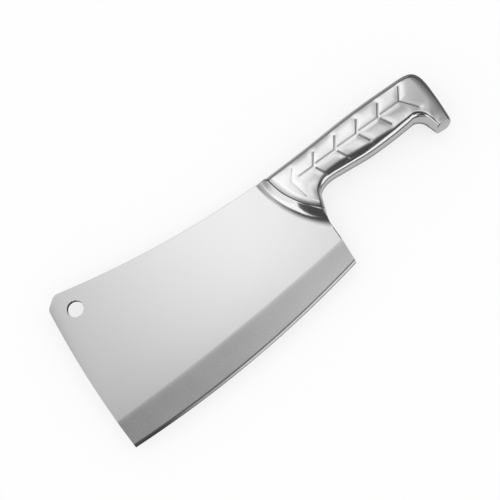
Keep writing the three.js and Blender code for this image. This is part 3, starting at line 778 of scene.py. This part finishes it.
def half_profile():
    """One half of the section from back to belly: each point's part, its share of that part, and its side."""
    walls = np.linspace(0, 1, WALL_POINTS, endpoint=False)
    corners = np.linspace(0, 1, CORNER_POINTS, endpoint=False)
    sides = np.linspace(0, 1, SIDE_POINTS)
    runs = [
        (ON_WALL, walls, 1.0), (ON_CORNER, corners, 1.0), (ON_SIDE, sides, 1.0),
        (ON_CORNER, corners[::-1], -1.0), (ON_WALL, walls[::-1], -1.0),
    ]
    part = np.concatenate([np.full(len(share), kind) for kind, share, _ in runs])
    side = np.concatenate([np.full(len(share), half) for _, share, half in runs])
    return part, np.concatenate([share for _, share, _ in runs]), side


PROFILE = half_profile()
PROFILE_POINTS = len(PROFILE[0])


def half_points(share, inset=0.0, foot=SEAM_HALF):
    """Points of half sections, one share along the handle for each point of the profile.

    Also how far each faces up, and its distance from the belly.
    """
    part, along, side = PROFILE
    s = Section(share, inset)

    def pick(wall, corner, crowned):
        return np.where(part == ON_WALL, wall, np.where(part == ON_CORNER, corner, crowned))

    bow = lerp(math.asin(foot / WALL_RADIUS), s.lean, along)
    wall_u, wall_z = s.half - WALL_RADIUS * (1 - np.cos(bow)), WALL_RADIUS * np.sin(bow)
    angle = lerp(s.lean, math.pi / 2 - s.slope, along)
    corner_u = s.centre + s.radius * np.cos(angle)
    corner_z = s.level + s.radius * np.sin(angle)
    side_u = s.side * (1 - 2 * along)
    side_z = s.thick - s.crown * (side_u / s.side) ** 2
    u = pick(wall_u * side, corner_u * side, side_u)
    z = pick(wall_z, corner_z, side_z)
    up = pick(0.0, np.sin(angle), 1.0)
    return np.concatenate([s.middle + s.across * u[..., None], z[..., None]], -1), up, s.half + u


def mouth_shares(gap, inset=0.0):
    """Where along the handle each point of the profile lies a gap behind the mouth line."""
    def before_mouth(share):
        flat = half_points(share[None], inset)[0][0, :, :2]
        return np.linalg.norm(flat - MOUTH_LINE.centre, axis=-1) > MOUTH_LINE.radius - gap

    return halved(before_mouth, np.zeros(PROFILE_POINTS), np.full(PROFILE_POINTS, MOUTH_WITHIN))


def calmed(rows):
    """Rows evened out along the handle where it bends into the hook."""
    reach = 3 * CALM_WIDTH
    weight = np.exp(-0.5 * (np.arange(-reach, reach + 1) / CALM_WIDTH) ** 2)
    padded = np.concatenate([np.repeat(rows[:1], reach, 0), rows, np.repeat(rows[-1:], reach, 0)])
    even = sum(w * padded[i:i + len(rows)] for i, w in enumerate(weight / weight.sum()))
    place = np.linspace(0, 1, len(rows))[:, None, None]
    return lerp(rows, even, fade(place, *CALM_IN) * fade(place, *CALM_OUT))


def butt_roll(rows):
    """How far the surface is rounded off along the butt, by its distance from the outline."""
    share = np.linspace(0.5, 1, OUTLINE_STEPS)  # the rear half
    outline = curve(BACKS, share)
    most = BUTT_ROLL * fade(share, *BUTT_ROLL_IN) * fade(share, *BUTT_ROLL_OUT)
    drop = np.zeros(rows.shape[:-1])
    for i, row in enumerate(rows):
        away = np.linalg.norm(row[:, None, :2] - outline, axis=-1)
        drop[i] = most[away.argmin(1)] * np.clip(1 - away.min(1) / BUTT_ROLL_REACH, 0, 1) ** BUTT_ROLL_POWER
    return drop


def mouth_roll(flat):
    """How strongly the shells roll in to the weld, by the distance from their mouth."""
    inside = MOUTH_LINE.radius - MOUTH_GAP - np.linalg.norm(flat - MOUTH_LINE.centre, axis=-1)
    inside = np.where(flat[..., 0] > MOUTH_LINE.centre[0], MOUTH_ROLL_REACH, inside)
    return np.clip(1 - inside / MOUTH_ROLL_REACH, 0, 1) ** 2


def finger_relief(x, from_belly):
    """How far the side is eased for the fingers, by place along the handle and distance from the belly."""
    near, far = RELIEF_REACH
    share = fade(x, *RELIEF_IN) * fade(x, *RELIEF_OUT)
    return RELIEF_DROP * np.clip(share - (np.maximum(from_belly, near) - near) / (far - near), 0, 1) ** 2


def shell_rows():
    """Rows of points of one shell from the mouth to the hook's tip, and how strong the grooves are there."""
    start = mouth_shares(MOUTH_GAP)
    last = 1 - TIP_ROUND / TIP_RUN / SPANS
    fine = np.linspace(0, 1, PATH_STEPS)
    middle = curve((BACKS + BELLIES) / 2, lerp(start.mean(), last, fine))
    run = np.concatenate([[0], np.cumsum(np.linalg.norm(np.diff(middle, axis=0), axis=1))])
    even = np.interp(np.linspace(0, run[-1], SHELL_ROWS), run, fine)
    rows, up, from_belly = half_points(start + (last - start) * even[:, None])
    rows = calmed(rows)
    rows[..., 2] -= butt_roll(rows) * up
    groove, swell = grip_depth(rows[..., :2])
    pressed = GROOVE_DEPTH * groove + PILLOW_DEPTH * swell + MOUTH_ROLL * mouth_roll(rows[..., :2])
    rows[..., 2] -= (pressed + finger_relief(rows[..., 0], from_belly)) * up
    groove = groove * up
    way = np.append(rows[-1, 0, :2] - rows[-TIP_WAY_ROWS, 0, :2], 0)
    way /= np.linalg.norm(way)
    for turn in np.linspace(0, math.pi / 2, TIP_STEPS + 1)[1:]:
        ring, *_ = half_points(np.full((1, PROFILE_POINTS), last), TIP_ROUND * (1 - math.cos(turn)))
        rows = np.concatenate([rows, ring + way * TIP_ROUND * math.sin(turn)])
        groove = np.concatenate([groove, np.zeros((1, PROFILE_POINTS))])
    return rows, groove


def shell_piece(name, side, node, rows, groove):
    """One pressed half of the handle."""
    steps, count, _ = rows.shape
    number = np.arange(steps * count).reshape(steps, count)
    faces = []
    for first, second in zip(number, number[1:]):
        faces += strip(first, second, closed=True)
    faces += [tuple(number[0]), tuple(number[-1][::-1])]
    points = rows.reshape(-1, 3) * (1, 1, side)
    piece = make_piece(name, points, turned(faces, side), (POLISH,), SHELL_SHARP)
    mark(piece, "groove", groove)
    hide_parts(node)


def seam_piece(rows):
    """The weld that closes the shells, ground flush: from the mouth along the back, round the tip and back."""
    line = np.concatenate([rows[:, 0, :2], rows[::-1, -1, :2]])
    inside = inward(line, -SHELL_WALL)
    bead = inward(line, SEAM_HALF**2 / (2 * WALL_RADIUS))
    loop = [(line, SEAM_HALF), (bead, 0.0), (line, -SEAM_HALF), (inside, -SEAM_HALF), (inside, SEAM_HALF)]
    points = np.concatenate([raised(flat, z) for flat, z in loop])
    number = np.arange(len(points)).reshape(len(loop), -1)
    faces = [tuple(number[:, 0]), tuple(number[::-1, -1])]
    for i, row in enumerate(number):
        faces += strip(row, number[(i + 1) % len(loop)])
    piece = make_piece("seam_bead", points, faces, (POLISH,), WELD_SHARP)
    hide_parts("seam_weld")


def mouth_piece():
    """The weld between bolster and shells: a sunken ring all round the mouth."""
    rings = [half_points(mouth_shares(gap, inset)[None], inset, 0.0)[0][0] for gap, inset in MOUTH_WELD]
    points = np.concatenate([ring * (1, 1, side) for side in (1, -1) for ring in rings])
    number = np.arange(len(points)).reshape(2, len(rings), PROFILE_POINTS)
    faces = []
    for i in range(len(rings)):
        above, below = number[:, i], number[:, (i + 1) % len(rings)]
        faces += strip(above[0], below[0]) + strip(below[1], above[1])
    piece = make_piece("mouth_ring", points, faces, (WELD,), WELD_SHARP)
    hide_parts("mouth_weld")


# Bolster

def bolster_piece():
    """The cast collar with its ground fillet: a ramp from the blade's face to the mouth, round at both ends."""
    half = BLADE_THICKNESS / 2
    top = MOUTH_THICKNESS / 2 + BEAD_PROUD
    across = np.linspace(0, 1, BOLSTER_COLUMNS)

    def flat(share, w):
        front = FRONT_LINE.at(share, -FILLET_REACH)
        return lerp(front, MOUTH_LINE.at(share, MOUTH_OVERLAP), w[..., None])

    def in_section(spot):
        s = Section(share_of(spot), -BEAD_PROUD)
        return s, ((spot - s.middle) * s.across).sum(-1)

    def outside(share):
        s, u = in_section(flat(share, across))
        return np.abs(u) > s.half

    high, low = halved(outside, *UPPER_END_WITHIN), halved(outside, *LOWER_END_WITHIN)
    spread = (1 - np.cos(np.linspace(0, math.pi, BOLSTER_ROWS))) / 2
    share = lerp(high[None], low[None], spread[:, None])
    w = np.broadcast_to(across, share.shape)
    spot = flat(share, w)
    s, u = in_section(spot)
    rise = 1 - np.cos(math.pi * RAMP_ROLL * w**RAMP_HOLLOW)
    ramp = half + (top - half) * rise / (1 - math.cos(math.pi * RAMP_ROLL))
    roof = s.height(np.clip(u, -s.half, s.half))
    mixed = np.clip(0.5 + 0.5 * (roof - ramp) / ROOF_SOFT, 0, 1)
    z = lerp(roof, ramp, mixed) - ROOF_SOFT * mixed * (1 - mixed)
    upper = np.concatenate([spot, z[..., None]], -1)
    rows, count = upper.shape[:2]
    points = np.concatenate([upper.reshape(-1, 3), upper.reshape(-1, 3) * (1, 1, -1)])
    above = np.arange(rows * count).reshape(rows, count)
    below = above + rows * count
    faces = []
    for i in range(rows - 1):
        faces += strip(above[i + 1], above[i])
        faces += strip(below[i], below[i + 1])
    faces += strip(above[0], below[0]) + strip(below[-1], above[-1])
    faces += strip(below[:, 0], above[:, 0]) + strip(above[:, -1], below[:, -1])
    piece = make_piece("bolster_collar", points, faces, (CAST,), SHELL_SHARP)
    mark(piece, "fillet", np.tile(1 - fade(w, *FILLET_OUT), (2, 1)))
    mark(piece, "upper_end", np.tile(1 - fade(share, *UPPER_END_OUT), (2, 1)))
    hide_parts("bolster", "bolster_weld_left", "bolster_weld_right")


blade_piece()
shell, grooves = shell_rows()
shell_piece("handle_left", 1, "handle_shell_left", shell, grooves)
shell_piece("handle_right", -1, "handle_shell_right", shell, grooves)
seam_piece(shell)
mouth_piece()
bolster_piece()


# Studio, in the frame's millimetres: a white room and floor, a graded scrim overhead,
# flags that draw the edges dark, and cards on the floor that only the steel shows

SCRIM_HEIGHT = 500
SCRIM_ALONG = [  # places and brightness
    (-900, 0.06), (-520, 0.1), (-330, 0.3), (-171, 0.62), (-121, 0.75), (-72, 0.89), (28, 1.08),
    (78, 1.17), (100, 1.15), (120, 0.94), (150, 0.92), (185, 1.04), (215, 1.08), (240, 1.06),
    (255, 0.98), (290, 0.68), (350, 0.38), (430, 0.24), (700, 0.1),
]
SCRIM_ACROSS = [
    (-250, 0.1), (-110, 0.16), (-35, 0.4), (20, 0.6), (80, 0.97), (320, 1.0), (400, 0.62),
    (480, 0.36), (580, 0.2), (760, 0.14),
]
SCRIM_PATCHES = [  # place, reach, how much darker (below 0, brighter) and what shows them:
    ((-72, -50), (70, 40), 0.42),  # the grind's middle
    ((285, 72), (45, 66), 0.45),  # the side at the palm
    ((240, 99), (75, 40), 0.5),  # the grip's lower panels
    ((85, -40), (60, 45), -0.24),  # the grind's heel
    ((180, -30), (30, 75), -0.9),  # the lower side behind the mouth
    ((330, -45), (100, 60), -1.1),  # the butt, towards the hook
]
END_ALONG = [(-900, 0.7), (-330, 0.62), (-200, 0.0), (700, 0.0)]  # light at the toe's end, behind
END_ACROSS = [(-250, 0.0), (40, 0.0), (190, 1.0), (760, 1.0)]

EDGE_LIGHT_ALONG, EDGE_LIGHT_ACROSS, EDGE_LIGHT_RISE = (-180, 8), (4.2, 9.0), 15  # a strip beside the edge
EDGE_LIGHT = [(-135, 0.05), (-95, 0.4), (-50, 0.7), (40, 0.75)]
EDGE_LIGHT_POINTS = 24

OVER_FLAG_HEIGHT, OVER_FLAG_FAR = SCRIM_HEIGHT - 10, -150
OVER_FLAG = [  # its near side
    (-600, -570), (-100, -570), (40, -900), (150, -900), (240, -430), (330, -430), (420, -760), (1600, -900),
]
HEEL_FLAG = [  # its upper side
    (-900, -300, 60), (-800, -365, 330), (-735, -405, 540), (-450, -700, 540), (-200, -1000, 540),
]
BELLY_SHADE_ALONG, BELLY_SHADE_ACROSS, BELLY_SHADE_POINTS = (0.25, 0.97), (-6, 3), 80  # below the belly
FLOOR_REACH, FLOOR_GLOW = (-3000, 3000), 0.7  # how wide the floor is, and how far it shows as plain white
FLOOR_LEVEL, CARD_LEVEL, DARK_CARD_LEVEL, SHADE_LEVEL = -0.2, -0.1, -0.05, -0.04


def stage_sheet(name, material, first, second, seen_by_camera=False):
    """A sheet of the studio between two rows of points."""
    mesh = bpy.data.meshes.new(name)
    count = len(first)
    rows = [Vector(point) / MM for point in (*first, *second)]
    mesh.from_pydata(rows, [], strip(range(count), range(count, 2 * count)))
    mesh.materials.append(material)
    sheet = new_object(name, mesh)
    if not seen_by_camera:
        sheet.visible_camera = sheet.visible_diffuse = sheet.visible_shadow = False


def lying(x, y, z):
    """The two rows of a level sheet."""
    return [(x[0], y[0], z), (x[1], y[0], z)], [(x[0], y[1], z), (x[1], y[1], z)]


def standing(start, end, z):
    """The two rows of an upright sheet."""
    return [(*start, z[0]), (*end, z[0])], [(*start, z[1]), (*end, z[1])]


def light_finish(name, build):
    """A finish of the studio, ended in the shader that build makes."""
    finish = Finish(name)
    return finish.ended(build(finish))


def graded(finish, axis, stops):
    """Brightness along one axis, from (millimetres, brightness) pairs."""
    low, high = stops[0][0], stops[-1][0]
    share = (finish.along(axis) - low) * (1 / (high - low))
    return finish.ramp(share, [((at - low) / (high - low), level) for at, level in stops])


def scrim(finish):
    """Brighter over the heel and the handle, falling to all sides, with patches for single places."""
    def times(first, second):
        return finish.blend(1.0, first, second, "MULTIPLY")

    level = times(graded(finish, 0, SCRIM_ALONG), graded(finish, 1, SCRIM_ACROSS))
    for middle, reach, darker in SCRIM_PATCHES:
        away = 0.0
        for axis in (0, 1):
            off = (finish.along(axis) - middle[axis]) * (1 / reach[axis])
            away = off * off + away
        level = times(level, 1.0 - darker * (away * -1.0).exp())
    end = times(graded(finish, 0, END_ALONG), graded(finish, 1, END_ACROSS))
    return finish.glow(finish.blend(1.0, level, end, "ADD"))


def edge_light(finish):
    """Light that falls off towards the toe."""
    return finish.glow(graded(finish, 0, EDGE_LIGHT))


def flag(level):
    """An even grey."""
    return lambda finish: finish.glow(grey(level))


def floor(finish):
    """Pale matt, lifted to plain white where it is seen itself or in the steel."""
    seen = 0.0
    for ray in ("Is Camera Ray", "Is Glossy Ray", "Is Transmission Ray"):
        seen = finish.node("LightPath", output=ray) + seen
    matt = finish.node("BsdfDiffuse", {"Color": grey(0.97)})
    return finish.node("MixShader", {0: seen * FLOOR_GLOW, 1: matt, 2: finish.glow(grey(1.0))})


DARK, DIM = light_finish("dark_flag", flag(0.06)), light_finish("dim_flag", flag(0.24))
PALE, GREY_CARD = light_finish("pale_flag", flag(0.2)), light_finish("grey_card", flag(0.5))
over_rows = ([(x, y, OVER_FLAG_HEIGHT) for x, y in OVER_FLAG],
             [(x, OVER_FLAG_FAR, OVER_FLAG_HEIGHT) for x, _ in OVER_FLAG])
heel_rows = [(x, y, 0) for x, y, _ in HEEL_FLAG], HEEL_FLAG
edge_x = np.linspace(*EDGE_LIGHT_ALONG, EDGE_LIGHT_POINTS)
edge_rows = [raised(np.column_stack([edge_x, edge_height(edge_x) - away]), EDGE_LIGHT_RISE) + SHIFT
             for away in EDGE_LIGHT_ACROSS]
belly = curve(BELLIES, np.linspace(*BELLY_SHADE_ALONG, BELLY_SHADE_POINTS))
belly_rows = [raised(inward(belly, -away) + SHIFT[:2], SHADE_LEVEL) for away in BELLY_SHADE_ACROSS]
floor_rows = lying(FLOOR_REACH, FLOOR_REACH, FLOOR_LEVEL)
stage_sheet("floor", light_finish("floor", floor), *floor_rows, seen_by_camera=True)
for name, material, rows in (
    ("scrim", light_finish("scrim", scrim), lying((-900, 700), (-250, 760), SCRIM_HEIGHT)),
    ("flag_over_front", DARK, over_rows),
    ("edge_light", light_finish("edge_light", edge_light), edge_rows),
    ("flag_at_heel", DARK, heel_rows),
    ("flag_behind", DIM, standing((-1500, 760), (1500, 760), (0, 500))),
    ("flag_at_tail", PALE, standing((700, -900), (700, 30), (0, 500))),
    ("flag_at_butt", DARK, standing((700, 30), (700, 900), (150, 500))),
    ("flag_low_at_butt", DIM, standing((700, 30), (700, 900), (0, 150))),
    ("grey_card", GREY_CARD, lying((-600, 700), (-180, 760), CARD_LEVEL)),
    ("dark_card_in_front", DARK, lying((30, 210), (-179, -27), DARK_CARD_LEVEL)),
    ("dark_card_at_butt", DARK, lying((162, 700), (-36, 300), DARK_CARD_LEVEL)),
    ("belly_shade", DIM, belly_rows),
):
    stage_sheet(name, material, *rows)

world = bpy.data.worlds.new("white_room")
world.use_nodes = True
room = world.node_tree.nodes["Background"].inputs
room["Color"].default_value, room["Strength"].default_value = grey(1.0), 1.0
scene.world = world

# Camera at the photograph's place, in the drawing's millimetres

EYE, TARGET = np.array([-127.95, -139.18, 740.0]), np.array([-47.84, 52.06, 0.0])
UP_TURN = math.radians(39.43)  # how far the picture's upright is turned from Y to X
LENS, SENSOR, NEAREST, FARTHEST = 83.58, 36.0, 0.01, 20.0

camera = bpy.data.cameras.new("camera")
camera.lens, camera.sensor_width = LENS, SENSOR
camera.clip_start, camera.clip_end = NEAREST, FARTHEST
viewer = new_object("camera", camera)
eye, target = Vector((EYE + SHIFT) / MM), Vector((TARGET + SHIFT) / MM)
ahead = (target - eye).normalized()
right = ahead.cross(Vector((math.sin(UP_TURN), math.cos(UP_TURN), 0))).normalized()
turn = Matrix((right, right.cross(ahead), -ahead)).transposed()
viewer.matrix_world = Matrix.Translation(eye) @ turn.to_4x4()
scene.camera = viewer
scene.view_settings.view_transform = "Standard"
